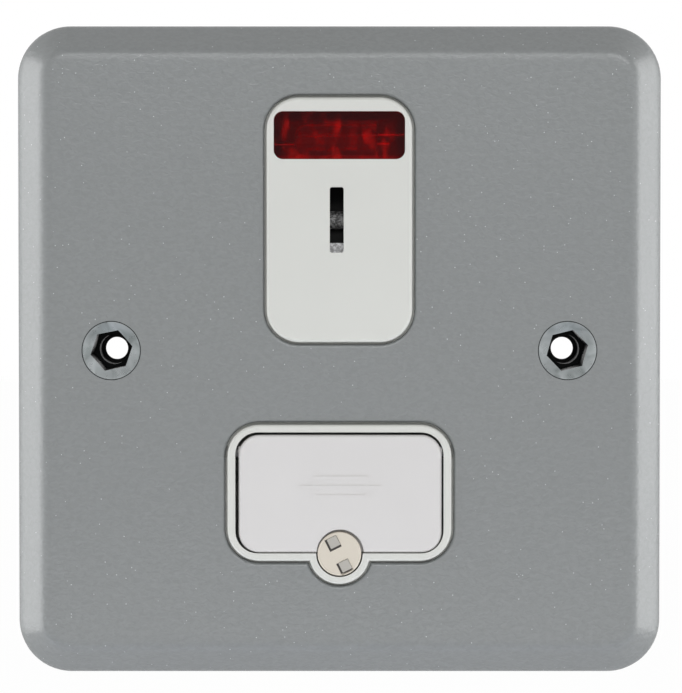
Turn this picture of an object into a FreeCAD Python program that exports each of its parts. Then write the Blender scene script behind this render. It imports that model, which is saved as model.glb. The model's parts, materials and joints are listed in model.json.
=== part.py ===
import FreeCAD, Part
import math
import os
import re
import Sketcher

# Fused spur unit: a metal plate with a key-operated switch, a neon and a
# hinged fuse carrier. Frame: front faces -Y, +Z is up, the origin lies midway
# between the two fixing holes in the plane of the plate's rear rim.
# All sizes in millimetres, angles in degrees.

SIZES = {
    # Plate
    "plate_depth": 9.0,
    "plate_side": 12.6,
    "plate_end": 8.0,
    "plate_corner": 7.0,
    "sheet_thickness": 1.2,
    "bevel": 3.6,
    "face_edge_radius": 1.6,
    "rim_edge_radius": 1.0,
    "aperture_gap": 0.3,
    "aperture_roll": 0.4,
    # Fixing bushes and captive washers
    "bush_radius": 3.92,
    "bush_step": 0.28,
    "bush_collar": 1.2,
    "bush_lip": 0.22,
    "bush_flange": 0.9,
    "bush_tail_end": 2.9,
    "bush_tail_wall": 0.8,
    "bush_bore": 2.0,
    "bush_dish": 0.8,
    "bush_gap": 0.25,
    "hex_across_flats": 4.9,
    "hex_depth": 7.0,
    "hex_turn_left": 11.5,
    "hex_turn_right": 14.0,
    "washer_seat_depth": 0.6,
    "washer_thickness": 0.5,
    "washer_bore": 1.5,
    # Front moulding
    "web_thickness": 2.0,
    "web_head": 2.6,
    "web_foot": 3.2,
    "lug_end": 5.45,
    "lug_height": 11.2,
    "lug_corner": 5.5,
    "frame_proud": 0.45,
    "frame_side_wall": 1.04,
    "frame_end_wall": 1.0,
    "frame_drop": 10.9,
    "frame_corner": 4.2,
    "frame_edge": 0.35,
    "opening_side": 0.47,
    "opening_corner": 3.0,
    "opening_relief": 1.2,
    "ear_wall": 0.95,
    "shroud_end": 2.53,
    "shroud_drop": 1.43,
    "shroud_depth": 10.0,
    "shroud_wall": 1.3,
    "shroud_corner": 1.5,
    "shroud_inner_corner": 1.0,
    "bearing_reach": 0.3,
    "clip_slot_margin": 0.3,
    "clip_slot_corner": 0.2,
    # Switch front
    "switch_centre": 17.25,
    "switch_side": 0.725,
    "switch_corner": 4.3,
    "switch_proud": 0.4,
    "switch_edge": 0.5,
    "switch_flange_side": 1.475,
    "switch_flange_end": 1.45,
    "switch_flange": 1.4,
    "switch_flange_corner": 2.0,
    "flange_fit": 0.1,
    "slot_width": 1.83,
    "slot_height": 8.65,
    "slot_corner": 0.3,
    "slot_shift": -0.35,
    "slot_wall": 1.7,
    "recess_side": 0.6,
    "recess_end": 0.45,
    "recess_corner": 0.6,
    "bearing_gap": 0.5,
    "bearing_thickness": 1.5,
    "bearing_half_height": 2.2,
    "bearing_root": 0.4,
    "bearing_wall": 0.5,
    # Neon indicator
    "lens_height": 6.2,
    "lens_side": 1.025,
    "lens_end": 1.9,
    "lens_gap": 0.2,
    "lens_corner": 1.15,
    "lens_proud": 0.35,
    "lens_fit": 0.06,
    "lens_flange_side": 0.6,
    "lens_flange_end": 0.4,
    "lens_flange": 0.7,
    "lens_wall": 1.15,
    "lens_pocket_corner": 0.5,
    "lamp_radius": 2.2,
    "lamp_length": 11.0,
    "lamp_y": -4.0,
    "lamp_drop": 0.4,
    "lamp_end_x": 5.0,
    "shelf_thickness": 0.9,
    "shelf_inset": 0.8,
    "lead_radius": 0.3,
    "lead_offset": 0.6,
    "lead_run": 1.6,
    "lead_inset": 0.3,
    "lead_behind": 1.0,
    "resistor_radius": 1.1,
    "resistor_length": 6.0,
    "resistor_side": 1.4,
    "resistor_behind": 2.0,
    # Key rocker
    "pivot_y": -5.2,
    "pin_radius": 1.2,
    "pin_clearance": 0.05,
    "rocker_throw": 22.0,
    "rocker_margin": 0.4,
    "rocker_front": 2.0,
    "rocker_lobe": 7.0,
    "rocker_back": 2.6,
    "rocker_slope": 1.6,
    "rocker_taper": 0.3,
    "rocker_flat": 3.0,
    "groove_width": 2.3,
    "groove_depth": 3.3,
    "pad_drop": 3.05,
    "pad_height": 3.2,
    "pad_sink": 0.2,
    "pad_thickness": 1.6,
    "plunger_radius": 1.2,
    "plunger_bore": 1.3,
    "plunger_reach": 10.5,
    "plunger_boss": 1.9,
    "plunger_boss_end": 5.6,
    "spring_seat": 1.9,
    "spring_length": 2.5,
    "spring_wire": 0.18,
    "spring_turns": 3,
    "spring_gap": 0.08,
    "spring_play": 0.02,
    # Contacts
    "contact_throw": 18.0,
    "fulcrum_y": 6.4,
    "fulcrum_gap": 0.05,
    "strip_width": 4.0,
    "strip_end": 1.0,
    "strip_thickness": 0.7,
    "strip_front": 1.4,
    "dish_depth": 0.6,
    "dish_floor": 1.3,
    "dish_slope": 1.0,
    "dish_lag": 0.3,
    "tip_radius": 1.4,
    "tip_height": 0.5,
    "tip_offset": 5.5,
    "tip_gap": 0.32,
    # Current bars
    "bar_front": 8.6,
    "bar_thickness": 0.8,
    "feed_head": 1.75,
    "feed_gap": 0.8,
    "switched_bar_width": 4.0,
    "switched_leg_width": 3.6,
    "pillar_gap": 0.5,
    "leg_drop": 2.1,
    "leg_rise": 1.6,
    "leg_gap": 0.2,
    "landing_rise": 5.7,
    "out_bar_front": 5.0,
    "out_bar_half_width": 1.5,
    "out_bar_rise": 7.7,
    "out_bar_landing": 3.7,
    # Rear housing
    "housing_head": 1.0,
    "housing_foot": 0.5,
    "housing_wall": 1.8,
    "housing_corner": 2.5,
    "housing_edge": 1.2,
    "root_overlap": 0.2,
    "pillar_radius": 2.2,
    "pillar_side": 6.44,
    "pillar_margin": 2.6,
    "pillar_drop": 3.8,
    "pillar_rise": 17.0,
    "platform_front": 5.25,
    "platform_ledge": 0.4,
    "platform_head": 1.0,
    "rib_thickness": 1.4,
    "rib_gap": 0.6,
    "rib_height": 11.7,
    "entry_radius": 2.5,
    "driver_radius": 2.3,
    "screw_radius": 1.2,
    "screw_bite": 1.2,
    "screw_hole_end": 0.1,
    "screw_head_radius": 2.0,
    "screw_head": 1.4,
    "screw_fit": 0.05,
    "cross_length": 2.6,
    "cross_width": 0.6,
    "cross_depth": 0.8,
    # Terminals
    "terminal_side": 0.8,
    "terminal_gap": 2.2,
    "terminal_height": 10.0,
    "wire_radius": 2.0,
    "wire_depth": 8.5,
    "wire_wall": 1.2,
    "clamp_radius": 1.85,
    "clamp_wall": 3.6,
    "clamp_sink": 0.4,
    "clamp_gap": 0.15,
    "clamp_slot": 0.8,
    # Earth strap
    "strap_thickness": 0.6,
    "strap_width": 4.0,
    "strap_side_gap": 0.6,
    "strap_slot_gap": 0.3,
    "strap_slot_corner": 0.3,
    "strap_rise": 0.6,
    "strap_inset": 0.4,
    "strap_reach": 0.5,
    # Fuse carrier, fuse and clips
    "carrier_side_gap": 0.34,
    "carrier_end_gap": 0.23,
    "carrier_drop": 0.13,
    "carrier_shift": 0.1,
    "carrier_corner": 2.7,
    "carrier_thickness": 1.8,
    "carrier_proud": 0.4,
    "carrier_edge": 0.4,
    "hinge_y": -8.2,
    "hinge_inset": 2.665,
    "trunnion_radius": 0.8,
    "trunnion_gap": 0.2,
    "trunnion_root": 1.0,
    "fuse_y": -4.0,
    "fuse_fall": 5.5,
    "tongue_room": 0.4,
    "fuse_radius": 3.175,
    "fuse_length": 25.4,
    "cap_length": 6.3,
    "cap_wall": 0.125,
    "cap_end": 0.3,
    "saddle_gap": 0.3,
    "saddle_width": 2.6,
    "saddle_wall": 1.1,
    "saddle_mouth": 4.8,
    "saddle_fit": 0.07,
    "saddle_cut": 1.0,
    "stop_gap": 0.05,
    "stop_thickness": 0.55,
    "stop_reach": 2.4,
    "stop_half_height": 4.0,
    "symbol_height": 0.08,
    "symbol_line": 0.42,
    "symbol_shift": 0.05,
    "symbol_rise": 0.9,
    "symbol_box_width": 7.4,
    "symbol_box_height": 2.9,
    "symbol_corner": 0.3,
    "symbol_inner_corner": 0.15,
    "symbol_half_line": 5.45,
    "clip_inset": 0.4,
    "clip_width": 3.0,
    "clip_clearance": 0.2,
    "clip_leaf": 0.5,
    "clip_web": 0.6,
    "clip_wrap": 60.0,
    # Latch
    "latch_drop": 0.045,
    "latch_radius": 2.9,
    "latch_proud": 0.5,
    "latch_head": 1.4,
    "latch_edge": 0.2,
    "latch_gap": 0.18,
    "seat_gap": 0.23,
    "seat_shift": 0.1,
    "tab_inset": 0.22,
    "tab_thickness": 1.2,
    "shank_radius": 1.5,
    "shank_clearance": 0.05,
    "collar_step": 0.6,
    "peg_side": 1.36,
    "peg_offset": 1.74,
    "peg_turn": 26.5,
    "peg_proud": 0.12,
    "well_side": 1.7,
    "well_shift": 0.13,
    "well_depth": 0.5,
    "tongue_reach": 4.3,
    "tongue_width": 2.6,
    "tongue_corner": 0.5,
    "tongue_thickness": 1.2,
    "tongue_gap": 0.3,
    "tongue_rim": 0.2,
    "rivet_radius": 1.2,
    "rivet_head": 0.3,
}

# Sizes and places that follow from those above, from the fuse outwards across
# the unit and from the switch outwards along it.
MATING = {
    # Across
    "opening_width": "fuse_length + 2 * (stop_gap + stop_thickness + opening_side)",
    "frame_width": "opening_width + 2 * frame_side_wall",
    "carrier_width": "opening_width - 2 * carrier_side_gap",
    "trunnion_reach": "frame_width / 2 - trunnion_gap",
    "shroud_width": "frame_width + shroud_wall",
    "pillar_x": "shroud_width / 2 + pillar_side",
    "web_width": "2 * (pillar_x + pillar_margin)",
    "fixing_spacing": "web_width + 2 * (bush_flange_radius + bush_gap)",
    "lug_span": "fixing_spacing + 2 * lug_end",
    "plate_width": "fixing_spacing + 2 * plate_side",
    "switched_outer": "pillar_x - pillar_radius - pillar_gap",
    "switched_inner": "switched_outer - switched_leg_width",
    "platform_half_width": "switched_outer + platform_ledge",
    "terminal_pitch": "(web_width - 2 * housing_wall - 2 * terminal_side + terminal_gap) / 5",
    "terminal_width": "terminal_pitch - terminal_gap",
    "clip_outer": "fuse_length / 2 - clip_inset",
    "clip_inner": "clip_outer - clip_width",
    "saddle_outer": "fuse_length / 2 - cap_length - saddle_gap",
    "saddle_inner": "saddle_outer - saddle_width",
    "plunger_x": "clip_inner - feed_gap - strip_width / 2",
    "rocker_half_width": "plunger_x + rocker_margin",
    "rocker_recess_width": "2 * (rocker_half_width + recess_side)",
    "bearing_inner": "rocker_half_width + bearing_gap",
    "bearing_outer": "bearing_inner + bearing_thickness",
    "switch_width": "2 * (bearing_outer + switch_side)",
    "switch_flange_width": "switch_width + 2 * switch_flange_side",
    "lens_width": "switch_width - 2 * lens_side",
    "lens_flange_width": "lens_width + 2 * lens_flange_side",
    "neutral_lead_x": "switch_flange_width / 2 - lead_inset",
    "resistor_x": "0 - switch_flange_width / 2 - resistor_side",
    # Along
    "rocker_recess_height": "2 * (rocker_lobe + recess_end)",
    "lens_flange_height": "lens_height + 2 * lens_flange_end",
    "lens_centre": "switch_centre + rocker_recess_height / 2 + lens_gap + lens_flange_height / 2",
    "lamp_z": "lens_centre - lamp_drop",
    "switch_top": "lens_centre + lens_height / 2 + lens_end",
    "switch_height": "2 * (switch_top - switch_centre)",
    "switch_flange_height": "switch_height + 2 * switch_flange_end",
    "web_top": "switch_top + web_head",
    "web_bottom": "shroud_centre - shroud_height / 2 - web_foot",
    "web_height": "web_top - web_bottom",
    "web_centre": "(web_top + web_bottom) / 2",
    "plate_height": "2 * (plate_end - web_bottom)",
    "housing_height": "web_height - housing_head - housing_foot",
    "housing_centre": "web_centre - (housing_head - housing_foot) / 2",
    "housing_bottom": "housing_centre - housing_height / 2",
    "pillar_top": "housing_centre + housing_height / 2 - pillar_drop",
    "pillar_bottom": "housing_bottom + pillar_rise",
    "terminal_bottom": "housing_bottom + housing_wall",
    "terminal_centre": "terminal_bottom + terminal_height / 2",
    "landing_z": "terminal_bottom + landing_rise",
    "rib_top": "terminal_bottom + rib_height",
    "feed_top": "switch_centre + feed_head",
    "switched_bottom": "switch_centre + tip_offset - feed_head",
    "switched_top": "switched_bottom + switched_bar_width",
    "platform_bottom": "switch_centre - platform_front",
    "platform_top": "switched_top + platform_head",
    "strip_half_length": "tip_offset + strip_end",
    "pad_top": "switch_centre - pad_drop",
    "pad_bottom": "pad_top - pad_height",
    "opening_height": "hinge_inset + fuse_fall + fuse_radius + tongue_reach + tongue_room",
    "frame_height": "opening_height + 2 * frame_end_wall",
    "frame_centre": "2 * switch_centre - switch_top - frame_drop - frame_height / 2",
    "carrier_height": "opening_height - 2 * carrier_end_gap",
    "carrier_centre": "frame_centre - carrier_drop",
    "shroud_height": "frame_height + 2 * shroud_end",
    "shroud_centre": "frame_centre - shroud_drop",
    "hinge_z": "frame_centre + opening_height / 2 - hinge_inset",
    "fuse_z": "hinge_z - fuse_fall",
    "latch_z": "frame_centre - opening_height / 2 - latch_drop",
    "line_leg_bottom": "hinge_z - leg_drop",
    "line_leg_top": "hinge_z + leg_rise",
    "symbol_x": "carrier_shift + symbol_shift",
    "symbol_z": "carrier_centre + symbol_rise",
    # Round pieces
    "bush_body_radius": "bush_radius + bush_step",
    "bush_flange_radius": "bush_body_radius + bush_collar",
    "bush_dish_radius": "bush_radius - bush_lip",
    "washer_radius": "bush_body_radius - bush_tail_wall",
    "thread_radius": "clamp_radius + screw_fit",
    "notch_radius": "latch_radius + latch_gap",
    "ear_radius": "notch_radius + ear_wall",
    "latch_seat": "latch_radius + seat_gap",
    "latch_tab_radius": "latch_radius - tab_inset",
    "collar_radius": "shank_radius + collar_step",
    "tongue_hub": "collar_radius + tongue_rim",
    # From front to back
    "washer_seat": "bush_tail_end - washer_seat_depth",
    "face": "0 - plate_depth",
    "sheet_back": "sheet_thickness - plate_depth",
    "web_back": "sheet_back + web_thickness",
    "frame_front": "face - frame_proud",
    "switch_front": "face - switch_proud",
    "switch_back": "sheet_back + switch_flange",
    "carrier_front": "face - carrier_proud",
    "carrier_back": "carrier_front + carrier_thickness",
    "tab_back": "carrier_back + tab_thickness",
    "latch_front": "face - latch_proud",
    "latch_tab": "latch_front + latch_head + shank_clearance",
    "tongue_front": "web_back + tongue_gap",
    "bar_back": "bar_front + bar_thickness",
    "rib_front": "bar_back + rib_gap",
    "wire_y": "bar_back + wire_wall + wire_radius",
    "strap_tab_y": "wire_y + strap_rise",
    "housing_floor": "wire_y + wire_radius + clamp_wall",
    "housing_back": "housing_floor + housing_wall",
    "clamp_back": "housing_back - clamp_sink",
}

NAME = r"[a-z][a-z_]+"
TOLERANCE = 1e-3
PLANES = {"X": ("YZ_Plane", 1), "Y": ("XZ_Plane", -1), "Z": ("XY_Plane", 1)}

doc = FreeCAD.newDocument("fused_spur")
sheet = doc.addObject("Spreadsheet::Sheet", "Sizes")
for row, (name, number) in enumerate(SIZES.items(), start=1):
    sheet.set("A%d" % row, str(number))
    sheet.setAlias("A%d" % row, name)
doc.recompute()

parts = []


def spelled(text):
    """An expression with its mating sizes written out in sizes of the sheet."""
    return re.sub(NAME, lambda found: "(%s)" % spelled(MATING[found.group(0)])
                  if found.group(0) in MATING else found.group(0), str(text))


def bound(text):
    """An expression of size names, as an object outside the sheet needs it."""
    return re.sub(NAME, lambda found: "Sizes." + found.group(0)
                  if found.group(0) in SIZES else found.group(0), spelled(text))


def value(text):
    """The number an expression of size names stands for."""
    return float(sheet.evalExpression(spelled(text)))


def times(side, text):
    """An expression for the left (-1) or the right (1) of a pair."""
    return "(%d * (%s))" % (side, text)


def new_body(label):
    """A body that becomes the sub-part with this name."""
    body = doc.addObject("PartDesign::Body", label)
    body.Label = label
    parts.append(body)
    return body


def place(body, x="0", y="0", z="0", turn=None):
    """Puts a body somewhere, turned about +X by an angle if one is given."""
    for letter, text in zip("xyz", (x, y, z)):
        body.setExpression("Placement.Base." + letter, bound(text))
    if turn is not None:
        body.setExpression("Placement.Rotation.Axis.x", "1")
        body.setExpression("Placement.Rotation.Axis.y", "0")
        body.setExpression("Placement.Rotation.Axis.z", "0")
        body.setExpression("Placement.Rotation.Angle", bound(turn))


def limit(sketch, constraint, text):
    """Adds a dimension whose size follows an expression."""
    index = sketch.addConstraint(constraint)
    sketch.setExpression("Constraints[%d]" % index, bound(text))


def locate(sketch, geometry, point, x, y):
    """Ties a point of a sketch element to a place in the sketch."""
    limit(sketch, Sketcher.Constraint("DistanceX", -1, 1, geometry, point, value(x)), x)
    limit(sketch, Sketcher.Constraint("DistanceY", -1, 1, geometry, point, value(y)), y)


def polygon(points):
    """An outline with straight sides through the given places."""
    def draw(sketch):
        first = sketch.GeometryCount
        count = len(points)
        spots = [FreeCAD.Vector(value(x), value(y), 0) for x, y in points]
        for i in range(count):
            sketch.addGeometry(Part.LineSegment(spots[i], spots[(i + 1) % count]), False)
        for i in range(count):
            sketch.addConstraint(Sketcher.Constraint(
                "Coincident", first + i, 2, first + (i + 1) % count, 1))
        for i, (x, y) in enumerate(points):
            locate(sketch, first + i, 1, x, y)
    return draw


def span(low_x, high_x, low_y, high_y):
    """A plain rectangle between two corners."""
    return polygon([(low_x, low_y), (high_x, low_y), (high_x, high_y), (low_x, high_y)])


def disc(x, y, radius):
    """A circle."""
    def draw(sketch):
        centre = FreeCAD.Vector(value(x), value(y), 0)
        circle = Part.Circle(centre, FreeCAD.Vector(0, 0, 1), value(radius))
        index = sketch.addGeometry(circle, False)
        limit(sketch, Sketcher.Constraint("Radius", index, value(radius)), radius)
        locate(sketch, index, 3, x, y)
    return draw


def rounded(x, y, width, height, radius):
    """A rectangle with round corners about its centre."""
    def draw(sketch):
        first = sketch.GeometryCount
        mid = FreeCAD.Vector(value(x), value(y), 0)
        a, b, r = value(width) / 2, value(height) / 2, value(radius)
        corners = [(a - r, r - b), (a - r, b - r), (r - a, b - r), (r - a, r - b)]
        sides = [((r - a, -b), (a - r, -b)), ((a, r - b), (a, b - r)),
                 ((a - r, b), (r - a, b)), ((-a, b - r), (-a, r - b))]
        for start, end in sides:
            sketch.addGeometry(Part.LineSegment(
                mid + FreeCAD.Vector(*start), mid + FreeCAD.Vector(*end)), False)
        for i, corner in enumerate(corners):
            circle = Part.Circle(mid + FreeCAD.Vector(*corner), FreeCAD.Vector(0, 0, 1), r)
            start = math.radians(270 + 90 * i)
            sketch.addGeometry(
                Part.ArcOfCircle(circle, start, start + math.radians(90)), False)
        for i in range(4):
            side, corner = first + i, first + 4 + i
            sketch.addConstraint(Sketcher.Constraint("Tangent", side, 2, corner, 1))
            sketch.addConstraint(
                Sketcher.Constraint("Tangent", corner, 2, first + (i + 1) % 4, 1))
            level = "Horizontal" if i % 2 == 0 else "Vertical"
            sketch.addConstraint(Sketcher.Constraint(level, side))
        for i in (5, 6, 7):
            sketch.addConstraint(Sketcher.Constraint("Equal", first + 4, first + i))
        limit(sketch, Sketcher.Constraint("Radius", first + 4, r), radius)
        limit(sketch, Sketcher.Constraint(
            "DistanceX", first + 3, 1, first + 1, 1, 2 * a), width)
        limit(sketch, Sketcher.Constraint("DistanceY", first, 1, first + 2, 2, 2 * b), height)
        right, top = "(%s) + (%s) / 2" % (x, width), "(%s) + (%s) / 2" % (y, height)
        limit(sketch, Sketcher.Constraint(
            "DistanceX", -1, 1, first + 1, 1, value(right)), right)
        limit(sketch, Sketcher.Constraint("DistanceY", -1, 1, first + 2, 1, value(top)), top)
    return draw


def sketch_at(body, axis, spot, outlines):
    """A sketch square to an axis at a place along it."""
    role, sign = PLANES[axis]
    sketch = body.newObject("Sketcher::SketchObject", body.Name + "_sketch")
    plane = [item for item in body.Origin.OriginFeatures if item.Role == role][0]
    sketch.AttachmentSupport = [(plane, "")]
    sketch.MapMode = "FlatFace"
    sketch.setExpression("AttachmentOffset.Base.z", bound("%d * (%s)" % (sign, spot)))
    for draw in outlines:
        draw(sketch)
    doc.recompute()
    return sketch


def add(body, axis, low, high, *outlines):
    """Pads outlines between two places along an axis."""
    start = low if PLANES[axis][1] > 0 else high
    pad = body.newObject("PartDesign::Pad", body.Name + "_pad")
    pad.Profile = sketch_at(body, axis, start, outlines)
    pad.setExpression("Length", bound("(%s) - (%s)" % (high, low)))
    doc.recompute()


def cut(body, axis, low, high, *outlines):
    """Cuts outlines out between two places along an axis."""
    start = high if PLANES[axis][1] > 0 else low
    volume = body.Shape.Volume
    pocket = body.newObject("PartDesign::Pocket", body.Name + "_pocket")
    pocket.Profile = sketch_at(body, axis, start, outlines)
    pocket.setExpression("Length", bound("(%s) - (%s)" % (high, low)))
    doc.recompute()
    if not body.Shape.Volume < volume - TOLERANCE:
        raise ValueError("a cut in %s takes nothing away" % body.Label)


def spin(body, line, points, axis="V_Axis", angle="360", reverse=False):
    """Turns outlines drawn in the body's XY plane about one of its own axes."""
    turned = body.newObject("PartDesign::Revolution", body.Name + "_turned")
    sketch = sketch_at(body, "Z", line, [polygon(outline) for outline in points])
    turned.Profile = sketch
    turned.ReferenceAxis = (sketch, [axis])
    turned.setExpression("Angle", bound(angle))
    turned.Reversed = reverse
    doc.recompute()


def dress(body, kind, prop, size, pick):
    """Rounds or bevels the edges of a body that pick(edge) accepts."""
    base = body.Tip
    names = ["Edge%d" % (i + 1) for i, edge in enumerate(base.Shape.Edges) if pick(edge)]
    feature = body.newObject("PartDesign::" + kind, body.Name + "_" + kind.lower())
    feature.Base = (base, names)
    feature.setExpression(prop, bound(size))
    doc.recompute()


def flat_at(spot, reach="plate_width"):
    """Picks the edges in the plane Y = spot that lie within a reach of X = 0."""
    level, furthest = value(spot), value(reach)

    def pick(edge):
        box = edge.BoundBox
        return (abs(box.YMin - level) < TOLERANCE and abs(box.YMax - level) < TOLERANCE
                and max(-box.XMin, box.XMax) < furthest)
    return pick


def front_plate():
    """Pressed plate: bevelled shoulder, rolled apertures, two bush holes."""
    body = new_body("front_plate")
    add(body, "Y", "face", "0",
        rounded("0", "0", "plate_width", "plate_height", "plate_corner"))
    dress(body, "Chamfer", "Size", "bevel", flat_at("face"))
    hollow = body.newObject("PartDesign::Thickness", "front_plate_hollow")
    rear = [i for i, face in enumerate(body.Shape.Faces)
            if abs(face.BoundBox.YMin) < TOLERANCE and abs(face.BoundBox.YMax) < TOLERANCE]
    hollow.Base = (hollow.BaseFeature, ["Face%d" % (rear[0] + 1)])
    hollow.setExpression("Value", bound("sheet_thickness"))
    hollow.Reversed = True
    doc.recompute()
    dress(body, "Fillet", "Radius", "face_edge_radius", flat_at("face"))
    dress(body, "Fillet", "Radius", "rim_edge_radius", flat_at("face + bevel"))
    cut(body, "Y", "face", "sheet_back",
        rounded("0", "switch_centre", "switch_width + 2 * aperture_gap",
                "switch_height + 2 * aperture_gap", "switch_corner + aperture_gap"))
    cut(body, "Y", "face", "sheet_back",
        rounded("0", "frame_centre", "frame_width + 2 * aperture_gap",
                "frame_height + 2 * aperture_gap", "frame_corner + aperture_gap"))
    cut(body, "Y", "face", "sheet_back",
        disc("0", "latch_z", "ear_radius + aperture_gap"))
    dress(body, "Fillet", "Radius", "aperture_roll", flat_at("face", "fixing_spacing / 2"))
    cut(body, "Y", "face", "sheet_back",
        disc("-fixing_spacing / 2", "0", "bush_radius"),
        disc("fixing_spacing / 2", "0", "bush_radius"))


def fixing_bush(label, side, turn):
    """Shouldered bush with a dished end, a hexagon socket and a screw bore."""
    body = new_body(label)
    flange_back = "web_back + bush_flange"
    dish = "face + bush_dish"
    spin(body, "0", [[
        ("bush_dish_radius", "face"), ("bush_radius", "face"),
        ("bush_radius", "sheet_back"), ("bush_body_radius", "sheet_back"),
        ("bush_body_radius", "web_back"), ("bush_flange_radius", "web_back"),
        ("bush_flange_radius", flange_back), ("bush_body_radius", flange_back),
        ("bush_body_radius", "bush_tail_end"), ("washer_radius", "bush_tail_end"),
        ("washer_radius", "washer_seat"), ("bush_bore", "washer_seat"),
        ("bush_bore", dish)]])
    corner = "hex_across_flats / 2 / cos(30)"
    cut(body, "Y", "face", "face + hex_depth", polygon([
        ("%s * cos(%s + %d)" % (corner, turn, angle),
         "%s * sin(%s + %d)" % (corner, turn, angle)) for angle in range(0, 360, 60)]))
    place(body, x=times(side, "fixing_spacing / 2"))


def captive_washer(label, side):
    """Soft ring in the bush's tail that keeps a fixing screw from dropping."""
    body = new_body(label)
    rear = "washer_seat + washer_thickness"
    spin(body, "0", [[("washer_bore", "washer_seat"), ("washer_radius", "washer_seat"),
                      ("washer_radius", rear), ("washer_bore", rear)]])
    place(body, x=times(side, "fixing_spacing / 2"))


def front_moulding():
    """Web behind the plate with the fuse frame, the hinge bearings, the shroud
    round the fuse and the lugs that the fixing bushes clamp."""
    body = new_body("front_moulding")
    shroud_back = "web_back + shroud_depth"
    add(body, "Y", "sheet_back", "web_back",
        rounded("0", "web_centre", "web_width", "web_height", "housing_corner"))
    add(body, "Y", "sheet_back", "web_back",
        rounded("0", "0", "lug_span", "lug_height", "lug_corner"))
    add(body, "Y", "frame_front", "sheet_back",
        rounded("0", "frame_centre", "frame_width", "frame_height", "frame_corner"))
    add(body, "Y", "frame_front", "sheet_back", disc("0", "latch_z", "ear_radius"))
    dress(body, "Fillet", "Radius", "frame_edge", flat_at("frame_front"))
    add(body, "Y", "web_back", shroud_back,
        rounded("0", "shroud_centre", "shroud_width", "shroud_height", "shroud_corner"))
    cut(body, "Y", "web_back", shroud_back + " - shroud_wall",
        rounded("0", "shroud_centre", "shroud_width - 2 * shroud_wall",
                "shroud_height - 2 * shroud_wall", "shroud_inner_corner"))
    cut(body, "Y", "frame_front", "web_back",
        rounded("0", "frame_centre", "opening_width", "opening_height",
                "opening_corner"))
    cut(body, "Y", "face", "web_back",
        rounded("0", "frame_centre", "opening_width", "opening_height",
                "opening_relief"))
    cut(body, "Y", "frame_front", "web_back", disc("0", "latch_z", "notch_radius"))
    cut(body, "Y", "sheet_back", "web_back",
        rounded("0", "switch_centre", "switch_flange_width + 2 * flange_fit",
                "switch_flange_height + 2 * flange_fit", "switch_flange_corner"))
    cut(body, "Y", "sheet_back", "web_back",
        disc("-fixing_spacing / 2", "0", "bush_body_radius"),
        disc("fixing_spacing / 2", "0", "bush_body_radius"))
    cut(body, "X", "-frame_width / 2 - bearing_reach", "frame_width / 2 + bearing_reach",
        disc("hinge_y", "hinge_z", "trunnion_radius + pin_clearance"))
    tail_z = "hinge_z + clip_web / 2"
    mid_x = "(clip_inner + clip_outer) / 2"
    for side in (-1, 1):
        cut(body, "Y", shroud_back + " - shroud_wall", shroud_back,
            rounded(times(side, mid_x), tail_z,
                    "clip_outer - clip_inner + 2 * clip_slot_margin",
                    "clip_web + 2 * clip_slot_margin", "clip_slot_corner"))
    for side in (-1, 1):
        for level in ("pillar_top", "pillar_bottom"):
            cut(body, "Y", "web_back - screw_bite - screw_hole_end", "web_back",
                disc(times(side, "pillar_x"), level, "screw_radius + screw_fit"))


def switch_front():
    """Cover over the key switch: key slot, lens window, pin bearings, shelf."""
    body = new_body("switch_front")
    add(body, "Y", "sheet_back", "switch_back",
        rounded("0", "switch_centre", "switch_flange_width",
                "switch_flange_height", "switch_flange_corner"))
    add(body, "Y", "switch_front", "sheet_back",
        rounded("0", "switch_centre", "switch_width", "switch_height",
                "switch_corner"))
    dress(body, "Fillet", "Radius", "switch_edge", flat_at("switch_front"))
    cut(body, "Y", "switch_front + slot_wall", "switch_back",
        rounded("0", "switch_centre", "rocker_recess_width", "rocker_recess_height", "recess_corner"))
    for side in (-1, 1):
        low, high = ("bearing_inner", "bearing_outer")
        if side < 0:
            low, high = ("-bearing_outer", "-bearing_inner")
        add(body, "X", low, high, span(
            "switch_back - bearing_root", "pivot_y + pin_radius + bearing_wall",
            "switch_centre - bearing_half_height", "switch_centre + bearing_half_height"))
    cut(body, "X", "-bearing_outer", "bearing_outer",
        disc("pivot_y", "switch_centre", "pin_radius"))
    cut(body, "Y", "switch_front", "switch_front + slot_wall",
        rounded("slot_shift", "switch_centre", "slot_width", "slot_height", "slot_corner"))
    cut(body, "Y", "switch_front", "switch_back",
        rounded("0", "lens_centre", "lens_width + 2 * lens_fit",
                "lens_height + 2 * lens_fit", "lens_corner + lens_fit"))
    cut(body, "Y", "switch_back - lens_flange - flange_fit", "switch_back",
        rounded("0", "lens_centre", "lens_flange_width + 2 * flange_fit",
                "lens_flange_height + 2 * flange_fit", "lens_corner"))
    shelf_top = "lamp_z - lamp_radius"
    add(body, "Y", "switch_back", "lamp_y + lamp_radius",
        span("shelf_inset - switch_flange_width / 2", "switch_flange_width / 2 - shelf_inset",
             shelf_top + " - shelf_thickness", shelf_top))


def neon_lens():
    """Hollow red window with a flange that seats behind the cover."""
    body = new_body("neon_lens")
    front = "face - lens_proud"
    seat = "switch_back - lens_flange - flange_fit"
    rear = "switch_back - flange_fit"
    add(body, "Y", front, seat,
        rounded("0", "lens_centre", "lens_width", "lens_height", "lens_corner"))
    add(body, "Y", seat, rear,
        rounded("0", "lens_centre", "lens_flange_width", "lens_flange_height",
                "lens_corner"))
    cut(body, "Y", front + " + lens_wall", rear,
        rounded("0", "lens_centre", "lens_width - 2 * lens_wall",
                "lens_height - 2 * lens_wall", "lens_pocket_corner"))


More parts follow.
